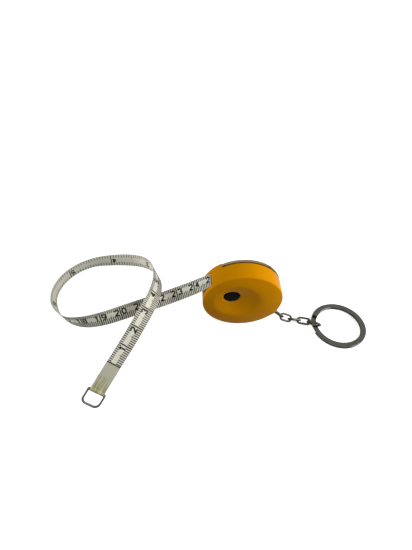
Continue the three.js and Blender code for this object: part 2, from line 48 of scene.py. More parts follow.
SHORT_SPAN = 1e-4

# Case
CASE_RADIUS = 19.8
CASE_FRONT = -12.57
INNER_RADIUS = 18.4
INNER_FACE = -9.5
DISH_DEPTH = 2.1
DISH_RADIUS = 11.2
DISH_OFFSET = 3.9
DISH_SOFTNESS = 0.18
CROWN = 1.33
CROWN_START = 8
EDGE_RADIUS = 0.8
RIM_HEIGHT = 1.75
RIM_INNER = 19.15
RIM_RADIUS = 0.6
GROOVE = 0.85
LIP_START = 121
LIP_END = 160
LIP_GAP = 0.03
LIP_RISE = 0.18
LIP_RUN = 2
BACK_PLATE = 0.8
SPIGOT_RADIUS = 19.0
SEAT_GAP = 0.1
MOUTH_ANGLE = 141.4
MOUTH_TILT = 206
MOUTH_Y = -5.65
MOUTH_SIZE = (10, 7.7, 1.4)
NOTCH_SIZE = (4.2, 4.4, 5.4)
NOTCH_Y = -8.6
ANCHOR_ANGLE = -31
LUG_RISE = 0.7
LUG_BACK = -5.3
LUG_FADE = 0.6
COVER_RADII = (0, 6, 12, 16)
CUT_PAST = 1
TABLE = -19.85

# Button
SPOOL_OFFSET = 7.05
BUTTON_RADIUS = 3.85
BUTTON_TOP = -10.9
BUTTON_EDGE = 0.6
BUTTON_HOLE = 4.05
HOLE_CHAMFER = 0.2
FLANGE_RADIUS = 4.35
FLANGE_FRONT = -9.4
FLANGE_BACK = -9.0
STEM_RADIUS = 0.75
STEM_END = -5.1

# Band and its print
TAPE_WIDTH = 7.2
TAPE_THICKNESS = 0.3
TAPE_BEVEL = 0.06
PRINT_LIFT = 0.015
PRINT_SINK = 0.05
PRINT_MARGIN = 0.08
PRINT_EDGE = TAPE_WIDTH / 2 - PRINT_MARGIN
FIGURE_HEIGHT = 3.35
FIGURE_WIDTH = 2.6
FIGURE_STROKE = 0.71

# Centimetre side: widths of marks, lengths of ticks, the figures' foot and their gap to the line
CENTIMETRE = 10
CM_TICK = 0.46
CM_LINE = 0.6
ZERO_LINE = 0.56
TOP_TICK = 1.75
FOOT_TICK = 2.95
FOOT_FIVE = 3.45
CM_BASE = 1.05
CM_GAP = 0.55

# Inch side: the same for its sixteenths, with the longer ticks by their number in the inch
INCH = 25.4
INCH_PARTS = 16
INCH_TICK = 0.38
INCH_LINE = 0.55
SHORT_TICK = 1.95
LONGER_TICKS = {4: 2.2, 8: 2.5, 12: 2.2}
INCH_BASE = -1.4
INCH_GAP = 0.5

# Route of the drawn-out band: its middle and the way across it, from the winding to the zero mark
TAPE_ROUTE = [
    (-9.4, -5.6, 14.3, 0, -1, 0),
    (-15, -5.6, 12, 0, -1, 0),
    (-18.2, -5.6, 9.8, 0.06, -0.99, -0.12),
    (-22.1, -5.6, 7, 0.16, -0.95, -0.27),
    (-30.7, -5.7, 2, 0.23, -0.9, -0.37),
    (-39.8, -6.5, -2, 0.28, -0.84, -0.47),
    (-49.3, -8.8, -3.8, 0.29, -0.76, -0.59),
    (-58.5, -12.5, -3.6, 0.25, -0.67, -0.7),
    (-67.9, -15.9, -3.7, 0.2, -0.53, -0.82),
    (-77.5, -16.5, -5.7, 0.23, -0.33, -0.92),
    (-86.5, -13.7, -8.9, 0.31, -0.1, -0.94),
    (-94, -7.9, -12, 0.35, -0.04, -0.94),
    (-99.6, 0, -14.3, 0.3, -0.05, -0.95),
    (-101.9, 9.5, -15.6, 0.09, -0.08, -0.99),
    (-99.4, 19.1, -16, 0.02, -0.04, -1),
    (-93.1, 26.8, -16.1, 0, 0, -1),
    (-84.4, 31.6, -16.1, 0, -0.05, -1),
    (-74.6, 33.3, -16.3, 0.02, -0.3, -0.95),
    (-64.7, 33.2, -16.1, 0.01, -0.48, -0.87),
    (-55.7, 29.9, -14.1, 0.02, -0.51, -0.86),
    (-49.4, 23.3, -10, 0.14, -0.43, -0.89),
    (-45.4, 15.4, -5.5, 0.33, -0.33, -0.88),
    (-43.2, 6.6, -1.5, 0.52, -0.25, -0.81),
    (-43, -2.9, 1.5, 0.65, -0.22, -0.73),
    (-45.5, -12.5, 2, 0.74, -0.24, -0.63),
    (-49.9, -21.3, 0.1, 0.81, -0.29, -0.5),
    (-54.9, -29.3, -3.4, 0.82, -0.33, -0.46),
    (-61.4, -38.5, -8.2, 0.78, -0.25, -0.57),
]
TAB_DIRECTION = Vector((-0.533, -0.733, -0.427)).normalized()
TAB_ACROSS = Vector((0.78, -0.25, -0.57))

# Band's end
TAB_LENGTH = 13.6
TAB_THICKNESS = 0.7
TAB_SEAM = 0.04
TAB_CORNER = 0.1
EYE_RADIUS = 1.0
EYE_BORE = 0.6
WELD_START = 5.6
WELD_END = 12
WELD_FADE = 1
WELD_RIBS = 5
WELD_DEPTH = 0.07
RING_WIRE = 0.75
RING_SKIN = 1.04
PULL_RING_WIDTH = 8.4
PULL_RING_LENGTH = 6.7
PULL_RING_CORNER = 2.2

# Chain: the way each link runs, the way its flat side faces, and its pitch and width
LINK_WIRE = 0.9
LINK_SKIN = 1.14
WIRE_GAP = 0.3
ANCHOR_PIN_RADIUS = 0.5
ANCHOR_INSET = 1.5
ANCHOR_Y = -7.9
CHAIN = [
    ("anchor_link", (0.776, -0.334, -0.536), (0.4, 0.8, 0.45), 9.1, 3.6),
    ("chain_link_1", (0.893, -0.064, -0.447), (0.3, -0.66, 0.69), 5.4, 4.2),
    ("chain_link_2", (0.925, 0.074, -0.37), (0.2, 0.85, 0.48), 5.4, 4.2),
    ("chain_link_3", (0.95, -0.3, 0.115), (0, -0.15, 0.99), 5.4, 4.2),
    ("chain_link_4", (0.925, -0.375, -0.03), (0.37, 0.89, 0.27), 5.4, 4.7),
]

# Split ring
SPLIT_RADIUS = 14
SPLIT_BAND = 2.7
SPLIT_LAYER = 0.62
SPLIT_SLIT = 0.46
SPLIT_SLACK = 1.0
SPLIT_BEARING = -2
SPLIT_TILT = 0.6
SPLIT_LEAN = 5.4
SPLIT_LAP = 319
SPLIT_RAMP = 36
SPLIT_START = 200
SPLIT_EDGE = 0.16

# How finely curves are divided: counts, and the longest step in a figure's stroke and in a mark
SHELL_SEGMENTS = 240
BUTTON_SEGMENTS = 96
FACE_STEPS = 48
WALL_STEPS = 24
EDGE_STEPS = 10
EDGE_SKIP = 3
TAPE_STEPS = 420
TAPE_COLUMNS = 14
BOW_STEPS = 20
FIGURE_STEP = 0.4
MARK_STEP = 0.6
TAB_STEPS = 40
TAB_COLUMNS = 48
EYE_STEPS = 36
BORE_STEPS = 30
BAR_STEPS = 6
CORNER_STEPS = 12
BEND_STEPS = 18
WIRE_SIDES = 16
SPLIT_STEPS = 360

# Angle between faces, in degrees, from which an edge is shaded sharp
SHARP = 35
SHARP_CASE = 30
SHARP_STRIP = 40
SHARP_WIRE = 60

# Light: a near lamp on the right, a far one on the left, a pale sky and a white floor
KEY_AT = (220, -60, 130)
KEY_POWER = 0.76
KEY_SIZE = 240
FILL_AT = (-400, 0, 50)
FILL_POWER = 0.78
FILL_SIZE = 160
LAMP_AIM = (0, -5, 0)
SKY = 0.31
FLOOR_SIZE = 2500
FLOOR_GLOW = 0.7
FLOOR_GREY = 0.18
FLOOR_ROUGHNESS = 0.9
FLOOR_SHEEN = 0.05
PURE_WHITE = (1, 1, 1, 1)

# Camera, as fitted to the band's own centimetre marks
CAMERA_AT = Vector((-20.96, -110.78, 144.72))
CAMERA_AHEAD = Vector((0.0182, 0.6309, -0.7756)).normalized()
FOCAL_PIXELS = 355.44
IMAGE_HEIGHT = 550
SENSOR = 36
CLIP_START = 1


def linear(r, g, b):
    """Display colour from 0 to 255 as scene light, with alpha 1."""

    def channel(v):
        v /= 255
        return v / 12.92 if v <= 0.04045 else ((v + 0.055) / 1.055) ** 2.4

    return (channel(r), channel(g), channel(b), 1)


# Camera


def make_camera():
    data = bpy.data.cameras.new("camera")
    data.sensor_fit = "VERTICAL"
    data.sensor_height = SENSOR
    data.lens = FOCAL_PIXELS / IMAGE_HEIGHT * SENSOR
    data.clip_start = CLIP_START * MM
    data.dof.use_dof = False
    camera = bpy.data.objects.new("camera", data)
    right = CAMERA_AHEAD.cross(Vector((0, 0, 1))).normalized()
    up = right.cross(CAMERA_AHEAD)
    turn = Matrix((right, up, -CAMERA_AHEAD)).transposed().to_4x4()
    camera.matrix_world = Matrix.Translation(CAMERA_AT * MM) @ turn
    bpy.context.scene.collection.objects.link(camera)
    bpy.context.scene.camera = camera


make_camera()

# Materials


class Shader:
    """A node material with one Principled surface and short names for its usual nodes."""

    def __init__(self, name):
        self.material = bpy.data.materials.new(name)
        self.material.use_nodes = True
        self.tree = self.material.node_tree
        self.surface = self.tree.nodes["Principled BSDF"]
        where = self.node("ShaderNodeTexCoord")
        self.place = where.outputs["Object"]
        self.uv = where.outputs["UV"]

    def node(self, kind, **values):
        """A new node; each value goes to the input of that name, or else to the node's own setting."""
        made = self.tree.nodes.new(kind)
        for key, value in values.items():
            socket = key.replace("_", " ")
            if socket in made.inputs:
                made.inputs[socket].default_value = value
            else:
                setattr(made, key, value)
        return made

    def join(self, out, into):
        self.tree.links.new(out, into)

    def set(self, **values):
        for key, value in values.items():
            self.surface.inputs[key.replace("_", " ")].default_value = value
        return self

    def noise(self, scale, detail=3, where=None, stretch=None):
        where = where or self.place
        if stretch:
            mapping = self.node("ShaderNodeMapping", Scale=stretch)
            self.join(where, mapping.inputs["Vector"])
            where = mapping.outputs["Vector"]
        made = self.node("ShaderNodeTexNoise", Scale=scale, Detail=detail)
        self.join(where, made.inputs["Vector"])
        return made.outputs["Fac"]

    def product(self, a, b):
        made = self.node("ShaderNodeMath", operation="MULTIPLY")
        self.join(a, made.inputs[0])
        self.join(b, made.inputs[1])
        return made.outputs["Value"]

    def span(self, factor, **values):
        """A factor taken from one range to another, by the node's own names for the ranges' ends."""
        made = self.node("ShaderNodeMapRange", **values)
        self.join(factor, made.inputs["Value"])
        return made.outputs["Result"]

    def colour(self, factor, low, high, start=0.3, end=0.7):
        ramp = self.node("ShaderNodeValToRGB")
        stops = ramp.color_ramp.elements
        for stop, position, tone in zip(stops, (start, end), (low, high)):
            stop.position = position
            stop.color = tone
        self.join(factor, ramp.inputs["Fac"])
        self.join(ramp.outputs["Color"], self.surface.inputs["Base Color"])

    def roughness(self, factor, low, high):
        self.join(self.span(factor, To_Min=low, To_Max=high), self.surface.inputs["Roughness"])

    def bump(self, height, strength, distance):
        """Relief on the surface; its distance is in millimetres."""
        made = self.node("ShaderNodeBump", Strength=strength, Distance=distance * MM)
        self.join(height, made.inputs["Height"])
        self.join(made.outputs["Normal"], self.surface.inputs["Normal"])


def speckled(name, low, high, rough, tone, wear, grain, strength, distance=0.1, **surface):
    """Uneven colour, gloss and relief; tone, wear and grain are the scale and detail of their noise."""
    s = Shader(name).set(**surface)
    s.colour(s.noise(*tone), low, high)
    s.roughness(s.noise(*wear), *rough)
    s.bump(s.noise(*grain), strength, distance)
    return s.material


def tape_cloth():
    s = Shader("tape_cloth").set(Specular_IOR_Level=0.15)
    s.colour(s.noise(scale=60), low=linear(233, 231, 212), high=linear(241, 239, 223))
    threads = []
    for direction in "XY":
        wave = s.node("ShaderNodeTexWave", Scale=1.2, bands_direction=direction)
        s.join(s.uv, wave.inputs["Vector"])
        threads.append(wave.outputs["Fac"])
    s.bump(s.product(*threads), strength=0.25, distance=0.06)
    s.roughness(s.noise(scale=500), low=0.3, high=0.42)
    return s.material


def tab_plastic():
    """Pale plastic, stained in streaks where the fold is welded."""
    s = Shader("tab_plastic").set(Specular_IOR_Level=0.25)
    streaks = s.noise(scale=1, detail=2, where=s.uv, stretch=(0.1, 1.1, 1))
    along = s.node("ShaderNodeSeparateXYZ")
    s.join(s.uv, along.inputs["Vector"])
    near, far = WELD_START - WELD_FADE, WELD_START + WELD_FADE
    welded = s.span(along.outputs["X"], From_Min=near, From_Max=far)
    pale, stained = linear(194, 193, 170), linear(156, 152, 98)
    s.colour(s.product(streaks, welded), low=pale, high=stained, start=0.42, end=0.62)
    s.roughness(s.noise(scale=500), low=0.3, high=0.45)
    s.bump(streaks, strength=0.15, distance=0.2)
    return s.material


def ink():
    s = Shader("print_ink").set(Specular_IOR_Level=0.1)
    s.colour(s.noise(scale=900), low=linear(10, 10, 9), high=linear(22, 21, 19))
    s.roughness(s.noise(scale=1500), low=0.5, high=0.7)
    return s.material


AMBER = speckled(
    "amber_plastic",
    low=linear(210, 138, 0),
    high=linear(217, 144, 0),
    rough=(0.14, 0.24),
    tone=(90,),
    wear=(700, 4),
    grain=(260, 2),
    strength=0.04,
    distance=0.2,
    Specular_IOR_Level=0.015,
)
# Chrome darkened and tinted warm: a painted reflection of a dark room and of the amber case
CHROME = speckled(
    "chrome_cover",
    low=linear(128, 120, 92),
    high=linear(142, 134, 106),
    rough=(0.05, 0.12),
    tone=(120,),
    wear=(900, 4),
    grain=(500,),
    strength=0.05,
    Metallic=1,
)
BLACK = speckled(
    "black_plastic",
    low=linear(5, 4, 4),
    high=linear(12, 10, 9),
    rough=(0.08, 0.16),
    tone=(300,),
    wear=(800, 4),
    grain=(600, 2),
    strength=0.05,
    Specular_IOR_Level=0.025,
)
STEEL = {"tone": (420, 4), "wear": (1400, 4), "grain": (900,), "strength": 0.06, "Metallic": 1}
# Steel of the chain, the pull ring and the split ring, kept dark: a painted reflection of a dark room
WIRE = speckled("steel_wire", linear(64, 62, 54), linear(82, 80, 70), (0.3, 0.4), **STEEL)
RING_STEEL = speckled("ring_steel", linear(80, 80, 75), linear(92, 92, 87), (0.14, 0.24), **STEEL)
SPRING = speckled("spring_steel", linear(150, 152, 156), linear(178, 180, 184), (0.25, 0.4), **STEEL)
DULL = {"tone": (250,), "wear": (900,), "grain": (1200, 2), "strength": 0.1}
WHITE = speckled("white_plastic", linear(222, 219, 206), linear(234, 231, 220), (0.4, 0.52), **DULL)
RUBBER = speckled("black_rubber", linear(30, 30, 30), linear(48, 48, 47), (0.8, 0.92), **DULL)
CLOTH = tape_cloth()
TAB = tab_plastic()
INK = ink()

# Meshes


def mesh_piece(name, points, faces, material, sharp=SHARP, uvs=None):
    """An object from points in millimetres, shaded smooth up to an angle between faces."""
    mesh = bpy.data.meshes.new(name)
    mesh.from_pydata([Vector(p) * MM for p in points], [], faces)
    mesh.validate()
    if uvs:
        layer = mesh.uv_layers.new(name="UVMap")
        for loop in mesh.loops:
            layer.data[loop.index].uv = uvs[loop.vertex_index]
    mesh.materials.append(material)
    piece = bpy.data.objects.new(name, mesh)
    bpy.context.scene.collection.objects.link(piece)
    shade(piece, sharp)
    return piece


def shade(piece, sharp):
    mesh = piece.data
    mesh.polygons.foreach_set("use_smooth", [True] * len(mesh.polygons))
    mesh.set_sharp_from_angle(angle=math.radians(sharp))


def ring_faces(rings, sides, closed):
    faces = []
    for i in range(rings if closed else rings - 1):
        near = i * sides
        far = (i + 1) % rings * sides
        for j in range(sides):
            k = (j + 1) % sides
            faces.append((near + j, near + k, far + k, far + j))
    if not closed:
        faces.append(tuple(reversed(range(sides))))
        faces.append(tuple(range((rings - 1) * sides, rings * sides)))
    return faces


def lofted(name, rings, material, closed=False, sharp=SHARP, uvs=None):
    sides = len(rings[0])
    points = [p for ring in rings for p in ring]
    piece = mesh_piece(name, points, ring_faces(len(rings), sides, closed), material, sharp, uvs)
    outward(piece)
    return piece


def outward(piece):
    """Turns a closed skin's faces outward where its signed volume is negative."""
    mesh = piece.data
    mesh.calc_loop_triangles()
    volume = 0
    for tri in mesh.loop_triangles:
        a, b, c = (mesh.vertices[i].co for i in tri.vertices)
        volume += a.dot(b.cross(c))
    if volume < 0:
        mesh.flip_normals()


def spun(name, rings, material, sharp=SHARP):
    """Closed outlines side by side round an axis; points that meet on the axis become one."""
    piece = lofted(name, rings, material, closed=True, sharp=sharp)
    work = bmesh.new()
    work.from_mesh(piece.data)
    bmesh.ops.remove_doubles(work, verts=work.verts, dist=WELD_DISTANCE * MM)
    work.to_mesh(piece.data)
    work.free()
    shade(piece, sharp)
    return piece


def turned(name, profile, material, segments, at=(0, 0), sharp=SHARP):
    """A closed profile of (radius, y) turned about a Y axis."""
    rings = []
    for i in range(segments):
        a = 2 * math.pi * i / segments
        rings.append(
            [(at[0] + r * math.cos(a), y, at[1] + r * math.sin(a)) for r, y in profile]
        )
    return spun(name, rings, material, sharp)


def arc(centre, radius, start, end, steps):
    """Points of a circle in a plane of two coordinates, angles in degrees."""
    out = []
    for i in range(steps + 1):
        a = math.radians(start + (end - start) * i / steps)
        out.append((centre[0] + radius * math.cos(a), centre[1] + radius * math.sin(a)))
    return out


def spread(start, end, steps):
    return [start + (end - start) * i / steps for i in range(steps + 1)]


def smooth(value, start, end):
    t = min(max((value - start) / (end - start), 0), 1)
    return t * t * (3 - 2 * t)


def box_tool(size, turn, at):
    x, y, z = (v / 2 for v in size)
    corners = [(i * x, j * y, k * z) for i in (-1, 1) for j in (-1, 1) for k in (-1, 1)]
    spin = Matrix.Rotation(math.radians(-turn), 3, "Y")
    points = [spin @ Vector(c) + Vector(at) for c in corners]
    faces = [(0, 1, 3, 2), (4, 6, 7, 5), (0, 4, 5, 1), (2, 3, 7, 6), (0, 2, 6, 4), (1, 5, 7, 3)]
    tool = mesh_piece("tool", points, faces, AMBER)
    outward(tool)
    return tool


def carve(piece, tool, sharp):
    """Cuts a tool from a piece and removes the tool."""
    step = piece.modifiers.new("step", "BOOLEAN")
    step.operation = "DIFFERENCE"
    step.solver = "EXACT"
    step.object = tool
    graph = bpy.context.evaluated_depsgraph_get()
    mesh = bpy.data.meshes.new_from_object(piece.evaluated_get(graph))
    piece.modifiers.clear()
    piece.data = mesh
    bpy.data.objects.remove(tool)
    shade(piece, sharp)


def on_circle(radius, degrees, y=0):
    a = math.radians(degrees)
    return Vector((radius * math.cos(a), y, radius * math.sin(a)))


SPOOL = on_circle(SPOOL_OFFSET, MOUTH_ANGLE)
DISH_CENTRE = on_circle(DISH_OFFSET, MOUTH_ANGLE)
MOUTH = on_circle((CASE_RADIUS + INNER_RADIUS) / 2, MOUTH_ANGLE, MOUTH_Y)
NOTCH = on_circle((CASE_RADIUS + INNER_RADIUS) / 2, ANCHOR_ANGLE, NOTCH_Y)


def place(piece, body, node):
    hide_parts(node)
    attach(piece, body)


# Case


def dish(x, z):
    """How far back the round recess is at a point of the face, with its rim softened."""
    reach = math.hypot(x - DISH_CENTRE.x, z - DISH_CENTRE.z) / DISH_RADIUS
    inside = 1 - reach * reach
    return DISH_DEPTH * (inside + math.hypot(inside, DISH_SOFTNESS)) / 2


def crown(radius):
    """How far the face falls back from its front towards its edge."""
    past = max(0, radius - CROWN_START) / (CASE_RADIUS - EDGE_RADIUS - CROWN_START)
    return CROWN * past * past


def lug_growth(turn, y):
    """How much wider the side is near the corner that the chain leaves from."""
    reach = math.acos(CASE_RADIUS / (CASE_RADIUS + LUG_RISE))
    off = abs(math.radians((turn - ANCHOR_ANGLE + 180) % 360 - 180))
    if off >= reach:
        return 1
    fade = 1 - smooth(y, LUG_BACK, LUG_BACK + LUG_FADE)
    return 1 + (1 / math.cos(reach - off) - 1) * fade


def front_shell():
    """The cup with its dished and crowned face, its lip, the button's hole, the mouth and the notch."""
    flat_end = CASE_RADIUS - EDGE_RADIUS
    wall_end = -RIM_HEIGHT - GROOVE
    edge_back = CASE_FRONT + CROWN + EDGE_RADIUS
    face = [(r, CASE_FRONT + crown(r)) for r in spread(0, flat_end, FACE_STEPS)]
    edge = arc((flat_end, edge_back), EDGE_RADIUS, -90, 0, EDGE_STEPS)[EDGE_SKIP:]
    wall = [(CASE_RADIUS, y) for y in spread(edge_back, wall_end, WALL_STEPS)[1:]]
    lip = CASE_RADIUS + LIP_GAP
    lap = [(CASE_RADIUS + LIP_RISE, -SEAT_GAP), (lip, -SEAT_GAP), (lip, wall_end)]
    no_lap = [(CASE_RADIUS, wall_end)] * len(lap)
    inside = [
        (SPIGOT_RADIUS, wall_end),
        (SPIGOT_RADIUS, -BACK_PLATE - SEAT_GAP),
        (INNER_RADIUS, -BACK_PLATE - SEAT_GAP),
        (INNER_RADIUS, INNER_FACE),
        (0, INNER_FACE),
    ]
    rings = []
    for i in range(SHELL_SEGMENTS):
        turn = ANCHOR_ANGLE + 360 * i / SHELL_SEGMENTS
        ring = []
        lapped = LIP_START < turn % 360 < LIP_END
        for r, y in face + edge + wall:
            grown = 1 + (lug_growth(turn, y) - 1) * smooth(r, INNER_RADIUS / 2, CASE_RADIUS)
            rise = LIP_RISE * smooth(y, wall_end - LIP_RUN, wall_end) if lapped else 0
            p = on_circle(r * grown + rise, turn, y)
            ring.append(p + Vector((0, dish(p.x, p.z), 0)))
        end = lap if lapped else no_lap
        rings.append(ring + [on_circle(r, turn, y) for r, y in end + inside])
    shell = spun("shell", rings, AMBER, SHARP_CASE)

    mouth_of_hole = CASE_FRONT + dish(SPOOL.x, SPOOL.z) + HOLE_CHAMFER
    outside = CASE_FRONT - CUT_PAST
    hole = [
        (0, outside),
        (BUTTON_HOLE + mouth_of_hole - outside, outside),
        (BUTTON_HOLE, mouth_of_hole),
        (BUTTON_HOLE, INNER_FACE + CUT_PAST),
        (0, INNER_FACE + CUT_PAST),
    ]
    carve(shell, turned("tool", hole, AMBER, BUTTON_SEGMENTS, (SPOOL.x, SPOOL.z)), SHARP_CASE)
    carve(shell, box_tool(MOUTH_SIZE, MOUTH_TILT, MOUTH), SHARP_CASE)
    carve(shell, box_tool(NOTCH_SIZE, ANCHOR_ANGLE, NOTCH), SHARP_CASE)
    place(shell, "case", "front_shell")


def back_cover():
    profile = [(r, 0) for r in COVER_RADII]
    profile += arc((CASE_RADIUS - RIM_RADIUS, -RIM_RADIUS), RIM_RADIUS, 90, 0, EDGE_STEPS)
    profile += [
        (CASE_RADIUS, -RIM_HEIGHT),
        (RIM_INNER, -RIM_HEIGHT),
        (RIM_INNER, -BACK_PLATE),
        (0, -BACK_PLATE),
    ]
    cover = turned("cover", profile, CHROME, SHELL_SEGMENTS, sharp=SHARP_CASE)
    place(cover, "case", "back_cover")


def button():
    bend = (BUTTON_RADIUS - BUTTON_EDGE, BUTTON_TOP + BUTTON_EDGE)
    profile = [(0, BUTTON_TOP)]
    profile += arc(bend, BUTTON_EDGE, -90, 0, EDGE_STEPS)
    profile += [
        (BUTTON_RADIUS, FLANGE_FRONT),
        (FLANGE_RADIUS, FLANGE_FRONT),
        (FLANGE_RADIUS, FLANGE_BACK),
        (STEM_RADIUS, FLANGE_BACK),
        (STEM_RADIUS, STEM_END),
        (0, STEM_END),
    ]
    piece = turned("button", profile, BLACK, BUTTON_SEGMENTS, (SPOOL.x, SPOOL.z))
    place(piece, "button", "brake_button")


# Band


def between(p, i, t):
    """A point of a centripetal curve through the rows of p, in span i at t from 0 to 1."""
    first = p[i - 1] if i else 2 * p[0] - p[1]
    last = p[i + 2] if i + 2 < len(p) else 2 * p[-1] - p[-2]
    a, b, c, d = first, p[i], p[i + 1], last
    u, v, w = (max(SHORT_SPAN, (m - n).length ** 0.5) for m, n in ((b, a), (c, b), (d, c)))
    out_b = ((b - a) / u - (c - a) / (u + v) + (c - b) / v) * v
    into_c = ((c - b) / v - (d - b) / (v + w) + (d - c) / w) * v
    t2, t3 = t * t, t * t * t
    return (
        b * (2 * t3 - 3 * t2 + 1)
        + out_b * (t3 - 2 * t2 + t)
        + c * (3 * t2 - 2 * t3)
        + into_c * (t3 - t2)
    )


class Band:
    """The band's line, and the frame at each distance from its zero mark."""

    def __init__(self):
        middles = [Vector(row[:3]) for row in TAPE_ROUTE]
        across = [Vector(row[3:]) for row in TAPE_ROUTE]
        self.points = []
        hints = []
        spans = len(middles) - 1
        for k in range(TAPE_STEPS, -1, -1):
            at = k / TAPE_STEPS * spans
            i = min(int(at), spans - 1)
            t = at - i
            self.points.append(between(middles, i, t))
            hints.append(across[i].lerp(across[i + 1], t))
        self.distance = [0.0]
        for a, b in zip(self.points, self.points[1:]):
            self.distance.append(self.distance[-1] + (b - a).length)
        self.frames = []
        last = len(self.points) - 1
        for i, hint in enumerate(hints):
            away = (self.points[min(i + 1, last)] - self.points[max(i - 1, 0)]).normalized()
            wide = (hint - away * hint.dot(away)).normalized()
            self.frames.append((wide, wide.cross(away)))
        self.length = self.distance[-1]

    def spot(self, along, across, lift):
        """The point at a distance from zero and across the band, lifted off its figure side."""
        i = min(max(bisect_left(self.distance, along), 1), len(self.points) - 1)
        a, b = self.distance[i - 1], self.distance[i]
        t = (along - a) / (b - a)
        wide = self.frames[i - 1][0].lerp(self.frames[i][0], t).normalized()
        out = self.frames[i - 1][1].lerp(self.frames[i][1], t).normalized()
        return self.points[i - 1].lerp(self.points[i], t) + wide * across + out * lift


BAND = Band()


def band():
    half = TAPE_WIDTH / 2
    thick = TAPE_THICKNESS / 2
    flat = spread(TAPE_BEVEL - half, half - TAPE_BEVEL, TAPE_COLUMNS)
    side = thick - TAPE_BEVEL
    section = [(-half, -side), (-half, side)]
    section += [(v, thick) for v in flat]
    section += [(half, side), (half, -side)]
    section += [(v, -thick) for v in reversed(flat)]
    rings = []
    uvs = []
    for i, point in enumerate(BAND.points):
        wide, out = BAND.frames[i]
        rings.append([point + wide * v + out * h for v, h in section])
        uvs += [(BAND.distance[i], v) for v, h in section]
    piece = lofted("band", rings, CLOTH, sharp=SHARP_STRIP, uvs=uvs)
    place(piece, "case", "tape_free")
    return piece


class Print:
    """Thin marks laid on one side of the band."""

    def __init__(self, side):
        self.top = side * (TAPE_THICKNESS / 2 + PRINT_LIFT)
        self.foot = side * (TAPE_THICKNESS / 2 - PRINT_SINK)
        self.spots = []
        self.faces = []

    def mark(self, along, width, low=-PRINT_EDGE, high=PRINT_EDGE):
        """A straight mark across the band, from edge to edge unless its ends are given."""
        start = len(self.spots)
        near, far = along - width / 2, along + width / 2
        steps = math.ceil((high - low) / MARK_STEP)
        for across in spread(low, high, steps):
            self.spots += [(near, across), (far, across)]
        for i in range(start, start + 2 * steps, 2):
            self.faces.append((i, i + 1, i + 3, i + 2))

    def figure(self, figure, left, base, up):
        """A figure whose left edge is at a distance along the band; up is the way its top points."""
        for points, faces in FIGURES[figure]:
            start = len(self.spots)
            self.spots += [(left + x, base + up * y) for x, y in points]
            self.faces += [tuple(start + i for i in face) for face in faces]

    def piece(self, name):
        """The marks as closed plates: a top, a foot under it and walls along the open edges."""
        count = len(self.spots)
        points = [BAND.spot(*spot, self.top) for spot in self.spots]
        points += [BAND.spot(*spot, self.foot) for spot in self.spots]
        edges = set()
        for face in self.faces:
            edges.update(zip(face, face[1:] + face[:1]))
        walls = [(b, a, a + count, b + count) for a, b in edges if (b, a) not in edges]
        feet = [tuple(count + i for i in reversed(face)) for face in self.faces]
        made = mesh_piece(name, points, self.faces + feet + walls, INK)
        outward(made)
        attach(made, "case")
        return made


def bow(x, y, across, tall, start, end):
    """Part of an ellipse as a line, angles in degrees."""
    turns = [math.radians(degrees) for degrees in spread(start, end, BOW_STEPS)]
    return [(x + across * math.cos(a), y + tall * math.sin(a)) for a in turns]


# Middle lines of the figures' strokes in a box of one by one
FIGURE_LINES = {
    "0": [bow(0.5, 0.5, 0.5, 0.5, 0, 360)],
    "1": [[(0.12, 0.78), (0.6, 1)], [(0.6, 1.05), (0.6, -0.05)]],
    "2": [bow(0.5, 0.72, 0.48, 0.28, 165, -35) + [(0, 0), (1, 0)]],
    "3": [bow(0.5, 0.75, 0.46, 0.25, 170, -90), bow(0.5, 0.25, 0.5, 0.25, 90, -170)],
    "4": [[(0.72, 0), (0.72, 1)], [(0.72, 1), (0, 0.28)], [(0, 0.28), (1.05, 0.28)]],
    "5": [[(0.92, 1), (0.16, 1), (0.08, 0.5)] + bow(0.48, 0.31, 0.5, 0.31, 140, -155)],
    "6": [bow(0.5, 0.3, 0.5, 0.3, 0, 360), bow(0.56, 0.45, 0.56, 0.55, 195, 55)],
    "7": [[(0, 1), (1, 1), (0.36, 0)]],
    "8": [bow(0.5, 0.75, 0.43, 0.25, 0, 360), bow(0.5, 0.26, 0.5, 0.26, 0, 360)],
    "9": [bow(0.5, 0.7, 0.5, 0.3, 0, 360), bow(0.44, 0.55, 0.56, 0.55, 15, -125)],
}


def stroke(line):
    """A stroke as a strip of four-sided faces about its middle line: points and faces."""
    half = FIGURE_STROKE / 2
    width, height = FIGURE_WIDTH - FIGURE_STROKE, FIGURE_HEIGHT - FIGURE_STROKE
    knots = [Vector((half + x * width, half + y * height)) for x, y in line]
    path = []
    for a, b in zip(knots, knots[1:]):
        steps = math.ceil((b - a).length / FIGURE_STEP)
        path += [a.lerp(b, i / steps) for i in range(steps)]
    closed = (knots[0] - knots[-1]).length < WELD_DISTANCE
    if not closed:
        path.append(knots[-1])
    count = len(path)
    points = []
    for i, here in enumerate(path):
        before = path[i - 1] if i or closed else here
        after = path[(i + 1) % count] if i + 1 < count or closed else here
        ahead = (after - before).normalized()
        side = Vector((-ahead.y, ahead.x)) * half
        points += [here - side, here + side]
    faces = []
    for i in range(count if closed else count - 1):
        near, far = 2 * i, 2 * ((i + 1) % count)
        faces.append((near, near + 1, far + 1, far))
    return points, faces


FIGURES = {figure: [stroke(line) for line in lines] for figure, lines in FIGURE_LINES.items()}


